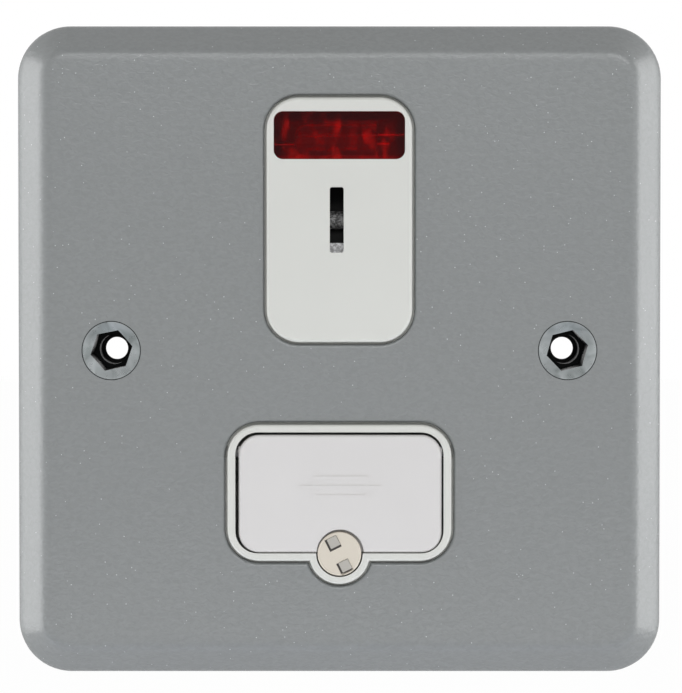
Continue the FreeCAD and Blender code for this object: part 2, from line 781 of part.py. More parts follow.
def wire(label, points):
    """A round lead through given places, with a ball at each bend."""
    feature = doc.addObject("Part::Feature", label)
    feature.Label = label
    spots = [FreeCAD.Vector(*[value(text) for text in point]) for point in points]
    radius = value("lead_radius")
    pieces = []
    for start, end in zip(spots, spots[1:]):
        along = end - start
        pieces.append(Part.makeCylinder(radius, along.Length, start, along))
    for bend in spots[1:-1]:
        pieces.append(Part.makeSphere(radius, bend))
    feature.Shape = pieces[0].fuse(pieces[1:]).removeSplitter()
    feature.Placement = FreeCAD.Placement()
    parts.append(feature)


def neon_indicator():
    """Neon lamp on its shelf, its series resistor and the leads to the bars."""
    body = new_body("neon_lamp")
    spin(body, "0", [[("lamp_end_x - lamp_length", "0"), ("lamp_end_x", "0"),
                      ("lamp_end_x", "lamp_radius"),
                      ("lamp_end_x - lamp_length", "lamp_radius")]], axis="H_Axis")
    dress(body, "Fillet", "Radius", "lamp_radius * 0.8",
          lambda edge: edge.BoundBox.XMax < value("lamp_end_x - lamp_length") + TOLERANCE)
    place(body, y="lamp_y", z="lamp_z")
    body = new_body("neon_resistor")
    low = "lamp_y + lamp_radius + resistor_behind"
    add(body, "Y", low, low + " + resistor_length",
        disc("resistor_x", "lamp_z - lead_offset", "resistor_radius"))
    upper, lower = "lamp_z + lead_offset", "lamp_z - lead_offset"
    drop_y, bar_z = "bar_front - lead_run", "(switched_bottom + switched_top) / 2"
    wire("neon_lead_neutral", [
        ("lamp_end_x", "lamp_y", upper), ("neutral_lead_x", "lamp_y", upper),
        ("neutral_lead_x", drop_y, upper), ("neutral_lead_x", drop_y, bar_z),
        ("neutral_lead_x", "bar_front", bar_z)])
    behind = "lamp_y + lamp_radius + lead_behind"
    wire("neon_lead_line", [
        ("lamp_end_x", "lamp_y", lower), ("lamp_end_x + lead_run", "lamp_y", lower),
        ("lamp_end_x + lead_run", behind, lower), ("resistor_x", behind, lower),
        ("resistor_x", low, lower)])
    wire("resistor_lead", [
        ("resistor_x", low + " + resistor_length", lower),
        ("resistor_x", drop_y, lower), ("resistor_x", drop_y, bar_z),
        ("resistor_x", "bar_front", bar_z)])


def pivot_pin():
    """Steel pin that the key rocker turns on."""
    body = new_body("rocker_pivot_pin")
    add(body, "X", "-bearing_outer", "bearing_outer",
        disc("pivot_y", "switch_centre", "pin_radius"))


def key_rocker():
    """Rocker with two lobes, a key groove and two plunger sockets, drawn at
    mid travel and turned back to its rest."""
    body = new_body("key_rocker")
    nose = "-rocker_front / cos(rocker_throw / 2)"
    tip_y = nose + " + rocker_lobe * sin(rocker_throw / 2)"
    tip_z = "rocker_lobe * cos(rocker_throw / 2)"
    add(body, "X", "-rocker_half_width", "rocker_half_width", polygon([
        (nose, "0"), (tip_y, "-" + tip_z),
        ("rocker_back - rocker_slope", "rocker_taper - " + tip_z),
        ("rocker_back", "-rocker_flat"), ("rocker_back", "rocker_flat"),
        ("rocker_back - rocker_slope", tip_z + " - rocker_taper"), (tip_y, tip_z)]))
    sockets = [disc(times(side, "plunger_x"), "0", "plunger_boss") for side in (-1, 1)]
    bores = [disc(times(side, "plunger_x"), "0", "plunger_bore") for side in (-1, 1)]
    add(body, "Y", "rocker_back", "plunger_boss_end", *sockets)
    cut(body, "Y", "spring_seat", "plunger_boss_end", *bores)
    cut(body, "X", "-rocker_half_width", "rocker_half_width",
        disc("0", "0", "pin_radius + pin_clearance"))
    cut(body, "Y", "-2 * rocker_front", "groove_depth - rocker_front",
        span("slot_shift - groove_width / 2", "slot_shift + groove_width / 2",
             "-rocker_lobe - rocker_back", "rocker_lobe + rocker_back"))
    place(body, y="pivot_y", z="switch_centre", turn="-rocker_throw / 2")


def wear_pad():
    """Steel pad in the groove's lower end that the key bears on."""
    body = new_body("rocker_wear_pad")
    front = "pivot_y - rocker_front + pad_sink"
    add(body, "Y", front, front + " + pad_thickness",
        span("slot_shift - groove_width / 2", "slot_shift + groove_width / 2",
             "pad_bottom", "pad_top"))


def plunger(label, side):
    """Round-nosed plunger in the rocker's socket."""
    body = new_body(label)
    start = "spring_seat + spring_length"
    add(body, "Y", start, "plunger_reach", disc("0", "0", "plunger_radius"))
    dress(body, "Fillet", "Radius", "plunger_radius * 0.9", flat_at("plunger_reach"))
    set_back(body, side)


def set_back(body, side):
    """Places a piece of the rocker's plunger group at the rocker's rest."""
    place(body, x=times(side, "plunger_x"), y="pivot_y", z="switch_centre",
          turn="-rocker_throw / 2")


def plunger_spring(label, side):
    """Coil spring between the rocker and a plunger."""
    body = new_body(label)
    sketch = sketch_at(body, "Z", "0", [
        disc("plunger_bore - spring_wire - spring_gap", "spring_seat + spring_wire",
             "spring_wire")])
    coil = body.newObject("PartDesign::AdditiveHelix", body.Name + "_coil")
    coil.Profile = sketch
    coil.ReferenceAxis = (sketch, ["V_Axis"])
    coil.Mode = 2
    coil.setExpression("Height", bound("spring_length - 2 * spring_wire - spring_play"))
    coil.setExpression("Turns", bound("spring_turns"))
    doc.recompute()
    set_back(body, side)


def moving_contact(label, side):
    """Rocking contact strip, dished where it rests on its fulcrum."""
    body = new_body(label)
    low, dish = "-strip_front", "dish_depth - strip_front"
    back, dish_back = low + " + strip_thickness", dish + " + strip_thickness"
    end = "strip_half_length"
    rise = "dish_floor + dish_slope"
    front_half = [(dish, "dish_floor"), (low, rise), (low, end)]
    rear_half = [(back, end), (back, rise + " + dish_lag"),
                 (dish_back, "dish_floor + dish_lag")]
    lower_rear = [(y, times(-1, z)) for y, z in reversed(rear_half)]
    lower_front = [(y, times(-1, z)) for y, z in reversed(front_half)]
    add(body, "X", "-strip_width / 2", "strip_width / 2",
        polygon(front_half + rear_half + lower_rear + lower_front))
    place(body, x=times(side, "plunger_x"), y="fulcrum_y", z="switch_centre",
          turn="contact_throw / 2")


def moving_tip(label, side):
    """Silver contact on the strip's upper end."""
    body = new_body(label)
    back = "strip_thickness - strip_front"
    add(body, "Y", back, back + " + tip_height", disc("0", "tip_offset", "tip_radius"))
    dress(body, "Fillet", "Radius", "tip_height * 0.6",
          flat_at(back + " + tip_height"))
    place(body, x=times(side, "plunger_x"), y="fulcrum_y", z="switch_centre",
          turn="contact_throw / 2")


def fixed_tip(label, side):
    """Silver contact on the switched bar, met when the switch is on."""
    body = new_body(label)
    back = "(strip_thickness - strip_front + tip_height)"
    half = "contact_throw / 2"
    reach = "fulcrum_y + %s * cos(%s) + tip_offset * sin(%s) + tip_gap" % (back, half, half)
    level = "switch_centre + tip_offset * cos(%s) - %s * sin(%s)" % (half, back, half)
    add(body, "Y", reach, "bar_front",
        disc(times(side, "plunger_x"), level, "tip_radius"))
    dress(body, "Fillet", "Radius", "tip_height", flat_at(reach))


def feed_bar(label, side):
    """Incoming bar from its terminal up to the contact's fulcrum."""
    body = new_body(label)
    low = times(side, "plunger_x - strip_width / 2")
    high = times(side, "plunger_x + strip_width / 2")
    add(body, "Y", "bar_front", "bar_back", span(low, high, "landing_z", "feed_top"))
    add(body, "Y", "fulcrum_y + fulcrum_gap", "bar_front",
        span(low, high, "switch_centre - bar_thickness / 2", "switch_centre + bar_thickness / 2"))


def switched_bar(label, side):
    """Bar from the fixed contact down to the outgoing side."""
    body = new_body(label)
    inner = times(side, "plunger_x - strip_width / 2")
    outer = times(side, "switched_outer")
    add(body, "Y", "bar_front", "bar_back",
        span(inner, outer, "switched_bottom", "switched_top"))
    bottom = "line_leg_bottom" if side < 0 else "landing_z"
    add(body, "Y", "bar_front", "bar_back",
        span(times(side, "switched_inner"), outer, bottom, "switched_bottom"))
    if side < 0:
        add(body, "Y", "bar_front", "bar_back",
            span(times(side, "clip_inner"), times(side, "switched_inner"),
                 "line_leg_bottom", "line_leg_top"))


def fuse_out_bar():
    """Bar from the right fuse clip to the outgoing line terminal."""
    body = new_body("fuse_out_bar")
    back = "out_bar_front + bar_thickness"
    left, right = "-out_bar_half_width", "out_bar_half_width"
    bend = "terminal_bottom + out_bar_rise"
    add(body, "Y", "out_bar_front", back,
        span(left, "clip_outer", "line_leg_bottom", "line_leg_top"))
    add(body, "Y", "out_bar_front", back, span(left, right, bend, "line_leg_bottom"))
    add(body, "Y", "out_bar_front", "bar_back",
        span(left, right, bend + " - bar_thickness", bend))
    add(body, "Y", "bar_front", "bar_back",
        span(left, right, "terminal_bottom + out_bar_landing", bend + " - bar_thickness"))


def rear_housing():
    """Moulded back: pillars, contact platform, terminal ribs, wire entries."""
    body = new_body("rear_housing")
    add(body, "Y", "web_back", "housing_back",
        rounded("0", "housing_centre", "web_width", "housing_height", "housing_corner"))
    dress(body, "Fillet", "Radius", "housing_edge", flat_at("housing_back"))
    cut(body, "Y", "web_back", "housing_floor",
        rounded("0", "housing_centre", "web_width - 2 * housing_wall",
                "housing_height - 2 * housing_wall", "housing_corner - housing_wall"))
    corners = [(times(side, "pillar_x"), level)
               for side in (-1, 1) for level in ("pillar_top", "pillar_bottom")]
    add(body, "Y", "web_back", "housing_floor + root_overlap",
        *[disc(x, z, "pillar_radius") for x, z in corners])
    add(body, "Y", "bar_back", "housing_floor + root_overlap",
        span("-platform_half_width", "platform_half_width",
             "platform_bottom", "platform_top"))
    add(body, "Y", "rib_front", "housing_floor + root_overlap", *[
        span("%s * terminal_pitch - rib_thickness / 2" % step,
             "%s * terminal_pitch + rib_thickness / 2" % step,
             "terminal_bottom - root_overlap", "rib_top")
        for step in ("(-1.5)", "(-0.5)", "0.5", "1.5")])
    cut(body, "Y", "web_back", "housing_back",
        *[disc(x, z, "screw_radius + screw_fit") for x, z in corners])
    cut(body, "Y", "housing_back - screw_head", "housing_back",
        *[disc(x, z, "screw_head_radius + screw_fit") for x, z in corners])
    places = ["%d * terminal_pitch" % step for step in range(-2, 3)]
    cut(body, "Z", "terminal_bottom - housing_wall", "terminal_bottom",
        *[disc(x, "wire_y", "entry_radius") for x in places])
    cut(body, "Y", "housing_floor", "housing_back",
        *[disc(x, "terminal_centre", "driver_radius") for x in places])
    cut(body, "X", "-web_width / 2", "housing_wall - web_width / 2",
        rounded("strap_tab_y", "terminal_centre", "strap_thickness + 2 * strap_slot_gap",
                "strap_width + 2 * strap_slot_gap", "strap_slot_corner"))


def terminal(label, step):
    """Brass block with a wire bore from below and a tapped hole behind."""
    body = new_body(label)
    add(body, "Y", "bar_back", "housing_floor",
        span("-terminal_width / 2", "terminal_width / 2",
             "terminal_bottom", "terminal_bottom + terminal_height"))
    cut(body, "Z", "terminal_bottom", "terminal_bottom + wire_depth",
        disc("0", "wire_y", "wire_radius"))
    cut(body, "Y", "wire_y", "housing_floor", disc("0", "terminal_centre", "thread_radius"))
    place(body, x="%d * terminal_pitch" % step)


def clamp_screw(label, step):
    """Slotted screw, backed out so that its wire bore is free."""
    body = new_body(label)
    add(body, "Y", "wire_y + wire_radius + clamp_gap", "clamp_back",
        disc("0", "terminal_centre", "clamp_radius"))
    cut(body, "Y", "clamp_back - clamp_slot", "clamp_back",
        span("-clamp_radius", "clamp_radius", "terminal_centre - clamp_slot / 2",
             "terminal_centre + clamp_slot / 2"))
    place(body, x="%d * terminal_pitch" % step)


def housing_screw(label, side, level):
    """Screw that joins the rear housing to the front moulding."""
    body = new_body(label)
    head = "housing_back - screw_head"
    add(body, "Y", "web_back - screw_bite", head, disc("0", "0", "screw_radius"))
    add(body, "Y", head, "housing_back", disc("0", "0", "screw_head_radius"))
    for width, height in (("cross_length", "cross_width"), ("cross_width", "cross_length")):
        cut(body, "Y", "housing_back - cross_depth", "housing_back",
            span("-%s / 2" % width, "%s / 2" % width, "-%s / 2" % height,
                 "%s / 2" % height))
    place(body, x=times(side, "pillar_x"), z=level)


def earth_strap():
    """Bonding strap from the left bush to the earth terminal."""
    body = new_body("earth_strap")
    front = "web_back + bush_flange"
    back = front + " + strap_thickness"
    leg_outer = "-web_width / 2 - strap_side_gap - strap_thickness"
    leg_inner = "-web_width / 2 - strap_side_gap"
    low, high = ("terminal_centre - strap_width / 2",
                 "terminal_centre + strap_width / 2")
    add(body, "Y", front, back,
        disc("-fixing_spacing / 2", "0", "bush_flange_radius - strap_inset"))
    add(body, "Y", front, back,
        span(leg_inner, "strap_reach - fixing_spacing / 2", low,
             "2 * strap_reach - bush_body_radius"))
    cut(body, "Y", front, back, disc("-fixing_spacing / 2", "0", "bush_body_radius"))
    tab_front = "strap_tab_y - strap_thickness / 2"
    tab_back = "strap_tab_y + strap_thickness / 2"
    add(body, "Y", front, tab_back, span(leg_outer, leg_inner, low, high))
    add(body, "Y", tab_front, tab_back,
        span(leg_outer, "-2 * terminal_pitch - terminal_width / 2", low, high))


def fuse_carrier():
    """Hinged carrier: face, latch tab, fuse saddles, end stops, trunnions."""
    body = new_body("fuse_carrier")
    add(body, "Y", "carrier_front", "carrier_back",
        rounded("carrier_shift", "carrier_centre", "carrier_width",
                "carrier_height", "carrier_corner"))
    dress(body, "Fillet", "Radius", "carrier_edge", flat_at("carrier_front"))
    add(body, "Y", "latch_tab", "tab_back", disc("0", "latch_z", "latch_tab_radius"))
    cut(body, "Y", "carrier_front", "latch_tab",
        disc("seat_shift", "latch_z + seat_shift", "latch_seat"))
    cut(body, "Y", "latch_tab", "tab_back",
        disc("0", "latch_z", "shank_radius + shank_clearance"))
    seat = "fuse_radius - cap_wall + saddle_fit"
    for side in (-1, 1):
        low, high = ("saddle_inner", "saddle_outer")
        if side < 0:
            low, high = ("-saddle_outer", "-saddle_inner")
        add(body, "X", low, high, disc("fuse_y", "fuse_z", seat + " + saddle_wall"))
        cut(body, "X", low, high, disc("fuse_y", "fuse_z", seat))
        cut(body, "X", low, high,
            span("fuse_y", "fuse_y + fuse_radius + saddle_wall + saddle_cut",
                 "fuse_z - saddle_mouth / 2", "fuse_z + saddle_mouth / 2"))
    stop = "fuse_length / 2 + stop_gap"
    reach = stop + " + stop_thickness"
    for low, high in ((stop, reach), ("-(%s)" % reach, "-(%s)" % stop)):
        add(body, "X", low + " + carrier_shift", high + " + carrier_shift",
            span("carrier_back - root_overlap", "fuse_y + stop_reach",
                 "fuse_z - stop_half_height", "fuse_z + stop_half_height"))
    edge = "carrier_width / 2 - trunnion_root"
    add(body, "X", edge, "trunnion_reach", disc("hinge_y", "hinge_z", "trunnion_radius"))
    add(body, "X", "-trunnion_reach", "-(%s)" % edge,
        disc("hinge_y", "hinge_z", "trunnion_radius"))
    symbol = "carrier_front - symbol_height"
    add(body, "Y", symbol, "carrier_front",
        rounded("symbol_x", "symbol_z", "symbol_box_width", "symbol_box_height",
                "symbol_corner"),
        rounded("symbol_x", "symbol_z", "symbol_box_width - 2 * symbol_line",
                "symbol_box_height - 2 * symbol_line", "symbol_inner_corner"))
    add(body, "Y", symbol, "carrier_front",
        span("symbol_x - symbol_half_line", "symbol_x + symbol_half_line",
             "symbol_z - symbol_line / 2", "symbol_z + symbol_line / 2"))


def fuse():
    """Cartridge fuse: ceramic tube and two caps."""
    tube = "fuse_radius - cap_wall"
    inside = "fuse_length / 2 - cap_end"
    body = new_body("fuse_body")
    add(body, "X", "-(%s)" % inside, inside, disc("fuse_y", "fuse_z", tube))
    place(body, x="carrier_shift")
    for label, side in (("fuse_cap_left", -1), ("fuse_cap_right", 1)):
        body = new_body(label)
        add(body, "X", "fuse_length / 2 - cap_length", "fuse_length / 2",
            disc("0", "0", "fuse_radius"))
        cut(body, "X", "fuse_length / 2 - cap_length", inside, disc("0", "0", tube))
        place(body, x="carrier_shift", y="fuse_y", z="fuse_z")
        if side < 0:
            body.setExpression("Placement.Rotation.Axis.x", "0")
            body.setExpression("Placement.Rotation.Axis.y", "0")
            body.setExpression("Placement.Rotation.Axis.z", "1")
            body.setExpression("Placement.Rotation.Angle", "180")


def fuse_clip(label, side, tail):
    """Clip whose two leaves follow the cap's path about the carrier's hinge."""
    body = new_body(label)
    far = "sqrt((fuse_y - hinge_y) ^ 2 + (fuse_z - hinge_z) ^ 2)"
    inner = far + " - fuse_radius - clip_clearance"
    outer = far + " + fuse_radius + clip_clearance"
    low, high = times(side, "clip_inner"), times(side, "clip_outer")
    end = "(%s) - hinge_y" % tail
    add(body, "Z", "0", "clip_web", span(low, high, inner + " - clip_leaf", end))
    leaves = []
    for start in (inner + " - clip_leaf", outer):
        stop = start + " + clip_leaf"
        leaves.append([(low, start), (high, start), (high, stop), (low, stop)])
    spin(body, "0", leaves, axis="H_Axis", angle="clip_wrap", reverse=True)
    add(body, "Y", end + " - bar_thickness", end,
        span(low, high, "line_leg_bottom - hinge_z + leg_gap", "line_leg_top - hinge_z"))
    place(body, y="hinge_y", z="hinge_z")


def turned(across, along):
    """A place in the latch's face, in axes turned with its two pegs."""
    c, s = "cos(peg_turn)", "sin(peg_turn)"
    return ("(%s) * %s - (%s) * %s" % (across, c, along, s),
            "(%s) * %s + (%s) * %s" % (across, s, along, c))


def square(across, along, side):
    """A square outline in the latch's turned axes."""
    half = side + " / 2"
    left, right = across + " - " + half, across + " + " + half
    low, high = along + " - " + half, along + " + " + half
    return polygon([turned(left, low), turned(right, low),
                    turned(right, high), turned(left, high)])


def latch():
    """Quarter-turn latch: round head with two square pegs in wells for a forked
    driver, and a tongue that turns behind the frame."""
    body = new_body("latch_head")
    head_back = "latch_front + latch_head"
    collar = "tab_back + shank_clearance"
    spin(body, "0", [[
        ("0", "latch_front"), ("latch_radius", "latch_front"),
        ("latch_radius", head_back), ("shank_radius", head_back),
        ("shank_radius", collar), ("collar_radius", collar),
        ("collar_radius", "tongue_front"), ("rivet_radius", "tongue_front"),
        ("rivet_radius", "tongue_front + tongue_thickness + rivet_head"),
        ("0", "tongue_front + tongue_thickness + rivet_head")]])
    dress(body, "Fillet", "Radius", "latch_edge", flat_at("latch_front"))
    for side in (-1, 1):
        middle = times(side, "peg_offset")
        cut(body, "Y", "latch_front", "latch_front + well_depth",
            square("-well_shift", middle + " - well_shift", "well_side"))
        add(body, "Y", "latch_front - peg_proud", "latch_front + well_depth",
            square("0", middle, "peg_side"))
    place(body, z="latch_z")
    body = new_body("latch_tongue")
    back = "tongue_front + tongue_thickness"
    add(body, "Y", "tongue_front", back, disc("0", "0", "tongue_hub"))
    add(body, "Y", "tongue_front", back,
        rounded("0", "tongue_reach / 2", "tongue_width", "tongue_reach", "tongue_corner"))
    cut(body, "Y", "tongue_front", back, disc("0", "0", "rivet_radius"))
    place(body, z="latch_z")


front_plate()
fixing_bush("fixing_bush_left", -1, "hex_turn_left")
fixing_bush("fixing_bush_right", 1, "hex_turn_right")
captive_washer("captive_washer_left", -1)
captive_washer("captive_washer_right", 1)
front_moulding()
switch_front()
neon_lens()
neon_indicator()
pivot_pin()
key_rocker()
wear_pad()
for place_name, hand in (("left", -1), ("right", 1)):
    plunger("plunger_" + place_name, hand)
    plunger_spring("plunger_spring_" + place_name, hand)
for pole, hand in (("line", -1), ("neutral", 1)):
    moving_contact("moving_contact_" + pole, hand)
    moving_tip("moving_tip_" + pole, hand)
    fixed_tip("fixed_tip_" + pole, hand)
    feed_bar(pole + "_feed_bar", hand)
    switched_bar(pole + "_switched_bar", hand)
fuse_out_bar()
rear_housing()
for position, use in enumerate(("earth", "line_in", "line_out", "neutral_in", "neutral_out")):
    terminal("terminal_" + use, position - 2)
    clamp_screw("clamp_screw_" + use, position - 2)
for place_name, hand in (("left", -1), ("right", 1)):
    housing_screw("housing_screw_top_" + place_name, hand, "pillar_top")
    housing_screw("housing_screw_bottom_" + place_name, hand, "pillar_bottom")
earth_strap()
fuse_carrier()
fuse()
fuse_clip("fuse_clip_left", -1, "bar_front")
fuse_clip("fuse_clip_right", 1, "out_bar_front")
latch()
doc.recompute()

for item in doc.Objects:
    if "Invalid" in item.State or "Error" in item.State:
        raise ValueError("%s is not right: %s" % (item.Label, item.State))
os.makedirs("parts", exist_ok=True)
for part in parts:
    if part.Shape.isNull() or not part.Shape.isValid():
        raise ValueError("%s has no valid shape" % part.Label)
    if len(part.Shape.Solids) != 1:
        raise ValueError("%s is %d solids" % (part.Label, len(part.Shape.Solids)))
    part.Shape.exportStep("parts/%s.step" % part.Label)
print("%d sub-parts written" % len(parts))
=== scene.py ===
import json
import math

import bmesh
import bpy
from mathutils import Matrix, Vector


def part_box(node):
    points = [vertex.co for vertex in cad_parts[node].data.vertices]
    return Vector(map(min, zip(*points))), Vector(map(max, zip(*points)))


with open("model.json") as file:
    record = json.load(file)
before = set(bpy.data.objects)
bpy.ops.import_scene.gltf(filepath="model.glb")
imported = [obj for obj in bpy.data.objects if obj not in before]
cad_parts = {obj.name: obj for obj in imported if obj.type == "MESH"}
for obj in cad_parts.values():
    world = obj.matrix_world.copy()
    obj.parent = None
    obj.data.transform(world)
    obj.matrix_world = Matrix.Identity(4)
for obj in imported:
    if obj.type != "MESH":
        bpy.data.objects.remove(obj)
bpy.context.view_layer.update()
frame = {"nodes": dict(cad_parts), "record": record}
nodes = frame["nodes"]

MM = 0.001

# Photo: its height in pixels, which is its longer side, pixels per millimetre on the
# plate's face, and how far right of and below the picture's middle the plate's
# centre is, in pixels.
IMAGE_HEIGHT = 693
FACE_SCALE = 7.57
CENTRE_RIGHT, CENTRE_DOWN = -1.6, 4.04
FACE_DISTANCE = 430 * MM
CAMERA_ELEVATION = 1.7
SENSOR = 36.0

# Light from all round, and the share of plain white that the floor shows to the
# camera, so that it has no horizon. In metres, how far the floor lies below the
# plate, and how far it reaches each way.
AMBIENT = 0.347
FLOOR_WHITE = 0.98
FLOOR_GAP = 0.20
FLOOR_REACH = 6.0

# Paint: how wide a band along the plate's edge has soft edges, how it fades in, and
# the radius there.
RIM_BAND, RIM_FADE, RIM_RADIUS = 8 * MM, 1 * MM, 2.2 * MM

# Red window: how much of it is see-through in the middle and at its rim, and
# the tint of each surface that light passes.
LENS_CLEAR, LENS_RIM_CLEAR = 0.8, 0.72
LENS_TINT = (0.86, 0.15, 0.15)

# Bush: the radii of its nose and of its socket, the depths at which the painted shade in the
# socket starts and is full, and those to which the painted shade ring round the nose is full
# and at which it ends. The dullness is a share of the plain zinc's colour.
BUSH_NOSE, BUSH_SOCKET = 3.92 * MM, 2.95 * MM
SHADE_START, SHADE_FULL = 0.75 * MM, 1.1 * MM
GAP_SHADE_FULL, GAP_SHADE_END = 0.4 * MM, 0.6 * MM
BUSH_DULLNESS = 0.60

# Fuse carrier: how far it sits to the right, and half its width without its stubs.
CARRIER_SHIFT, CARRIER_HALF = 0.1 * MM, 13.43 * MM

# Latch: the radius inside its rim, and the depths below its pegs' tops at which the
# pegs' colour ends and their wells, which get painted shade, begin and end.
LATCH_INSIDE = 2.65 * MM
PEG_DEPTH, WELL_START, WELL_END = 0.05 * MM, 0.26 * MM, 0.74 * MM

plate_low, plate_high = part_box("front_plate")


# Node helpers

class Graph:
    """Builds one material's node tree with short calls."""

    def __init__(self, name):
        self.material = bpy.data.materials.new(name)
        self.material.use_nodes = True
        self.tree = self.material.node_tree
        self.tree.nodes.clear()
        self.output = self.add("ShaderNodeOutputMaterial")
        self.coords = self.add("ShaderNodeTexCoord").outputs["Object"]

    def add(self, kind, **settings):
        node = self.tree.nodes.new(kind)
        for key, setting in settings.items():
            setattr(node, key, setting)
        return node

    def feed(self, socket, source):
        """Links a socket to another, or sets it to a constant."""
        if isinstance(source, bpy.types.NodeSocket):
            self.tree.links.new(source, socket)
        else:
            socket.default_value = source

    def feed_color(self, socket, color):
        """The same for a colour, whose constant has three numbers."""
        is_socket = isinstance(color, bpy.types.NodeSocket)
        self.feed(socket, color if is_socket else (*color, 1.0))

    def math(self, operation, a, b=0.0):
        node = self.add("ShaderNodeMath", operation=operation)
        self.feed(node.inputs[0], a)
        self.feed(node.inputs[1], b)
        return node.outputs[0]

    def stretched(self, stretch):
        node = self.add("ShaderNodeMapping")
        self.feed(node.inputs["Vector"], self.coords)
        self.feed(node.inputs["Scale"], Vector(stretch))
        return node.outputs["Vector"]

    def noise(self, scale, detail=2.0, distortion=0.0, roughness=0.5, stretch=None):
        node = self.add("ShaderNodeTexNoise")
        self.feed(node.inputs["Vector"], self.stretched(stretch) if stretch else self.coords)
        self.feed(node.inputs["Scale"], scale)
        self.feed(node.inputs["Detail"], detail)
        self.feed(node.inputs["Distortion"], distortion)
        self.feed(node.inputs["Roughness"], roughness)
        return node.outputs["Fac"]

    def cells(self, scale, smooth=0.6):
        node = self.add("ShaderNodeTexVoronoi", feature="SMOOTH_F1")
        self.feed(node.inputs["Vector"], self.coords)
        self.feed(node.inputs["Scale"], scale)
        self.feed(node.inputs["Smoothness"], smooth)
        return node.outputs["Distance"]

    def flakes(self, scale, share, size):
        """Small spots in the given share of cells."""
        node = self.add("ShaderNodeTexVoronoi")
        self.feed(node.inputs["Vector"], self.coords)
        self.feed(node.inputs["Scale"], scale)
        pick = self.add("ShaderNodeSeparateColor")
        self.feed(pick.inputs[0], node.outputs["Color"])
        chosen = self.math("LESS_THAN", pick.outputs[0], share)
        near = self.math("LESS_THAN", node.outputs["Distance"], size)
        return self.math("MULTIPLY", chosen, near)

    def between(self, source, low, high, to_low=0.0, to_high=1.0):
        """Moves a range of values to another range, and holds them inside it."""
        node = self.add("ShaderNodeMapRange")
        self.feed(node.inputs["Value"], source)
        for name, number in (("From Min", low), ("From Max", high),
                             ("To Min", to_low), ("To Max", to_high)):
            self.feed(node.inputs[name], number)
        return node.outputs["Result"]

    def mix(self, factor, a, b):
        """A colour between two others."""
        node = self.add("ShaderNodeMix", data_type="RGBA")
        self.feed(node.inputs["Factor"], factor)
        self.feed_color(node.inputs[6], a)
        self.feed_color(node.inputs[7], b)
        return node.outputs[2]

    def along(self, axis):
        node = self.add("ShaderNodeSeparateXYZ")
        self.feed(node.inputs[0], self.coords)
        return node.outputs[axis]

    def around(self, box):
        """The distance from an axis along Y through the middle of a box."""
        low, high = box
        across, up = (self.math("SUBTRACT", self.along(word), (low[i] + high[i]) / 2)
                      for word, i in (("X", 0), ("Z", 2)))
        return self.math("SQRT", self.math("ADD", self.math("MULTIPLY", across, across),
                                           self.math("MULTIPLY", up, up)))

    def soft_edges(self, radius):
        """The normal with edges rounded by a radius."""
        node = self.add("ShaderNodeBevel", samples=4)
        self.feed(node.inputs["Radius"], radius)
        return node.outputs["Normal"]

    def bump(self, height, distance, strength=1.0, normal=None):
        node = self.add("ShaderNodeBump")
        if normal is not None:
            self.feed(node.inputs["Normal"], normal)
        self.feed(node.inputs["Height"], height)
        self.feed(node.inputs["Distance"], distance)
        self.feed(node.inputs["Strength"], strength)
        return node.outputs["Normal"]

    def surface(self, color, roughness, normal=None, **inputs):
        """The main shader. Its other inputs are given by name, with _ for a space."""
        shader = self.add("ShaderNodeBsdfPrincipled")
        self.feed_color(shader.inputs["Base Color"], color)
        self.feed(shader.inputs["Roughness"], roughness)
        if normal is not None:
            self.feed(shader.inputs["Normal"], normal)
        for name, source in inputs.items():
            self.feed(shader.inputs[name.replace("_", " ")], source)
        self.feed(self.output.inputs["Surface"], shader.outputs[0])

    def mixed_with(self, other, share):
        """Gives another shader the given share of the surface."""
        surface = self.output.inputs["Surface"]
        mixer = self.add("ShaderNodeMixShader")
        self.feed(mixer.inputs["Fac"], share)
        self.feed(mixer.inputs[1], surface.links[0].from_socket)
        self.feed(mixer.inputs[2], other.outputs[0])
        self.feed(surface, mixer.outputs[0])


# Materials

def hammered_paint():
    """Grey metallic paint: low wavy relief, more of it lower down, and a few metal flakes
    whose light colour is partly their own and partly painted glints.
    """
    g = Graph("hammered_paint")
    worms = g.noise(scale=2000.0, distortion=0.8, stretch=(0.62, 1.0, 1.0))
    clouds = g.noise(scale=35.0)
    tone = g.mix(g.between(worms, 0.35, 0.65), (0.176, 0.187, 0.187), (0.196, 0.208, 0.208))
    tone = g.mix(g.between(clouds, 0.3, 0.7, 0.0, 0.25), tone, (0.166, 0.176, 0.180))
    # The flakes: partly real metal flakes, partly painted glints.
    tone = g.mix(g.flakes(scale=4000.0, share=0.009, size=0.28), tone, (0.46, 0.48, 0.48))
    rough = g.between(clouds, 0.3, 0.7, 0.52, 0.46)
    height = g.math("ADD", g.math("MULTIPLY", g.cells(scale=900.0), 0.5), worms)
    relief = g.between(g.along("Z"), plate_low[2], plate_high[2], 1.0, 0.4)
    off_centre = g.math("MAXIMUM", *(g.math("ABSOLUTE", g.along(word)) for word in "XZ"))
    band_start = plate_high[0] - RIM_BAND
    softness = g.between(off_centre, band_start, band_start + RIM_FADE, 0.0, RIM_RADIUS)
    crisper = g.soft_edges(g.math("MULTIPLY", softness, 0.5))
    g.surface(tone, rough, g.bump(height, 0.09 * MM, relief, g.soft_edges(softness)),
              Metallic=0.25, Coat_Weight=0.8, Coat_Roughness=0.16,
              Coat_Normal=g.bump(height, 0.07 * MM, 0.5, crisper))
    return g.material


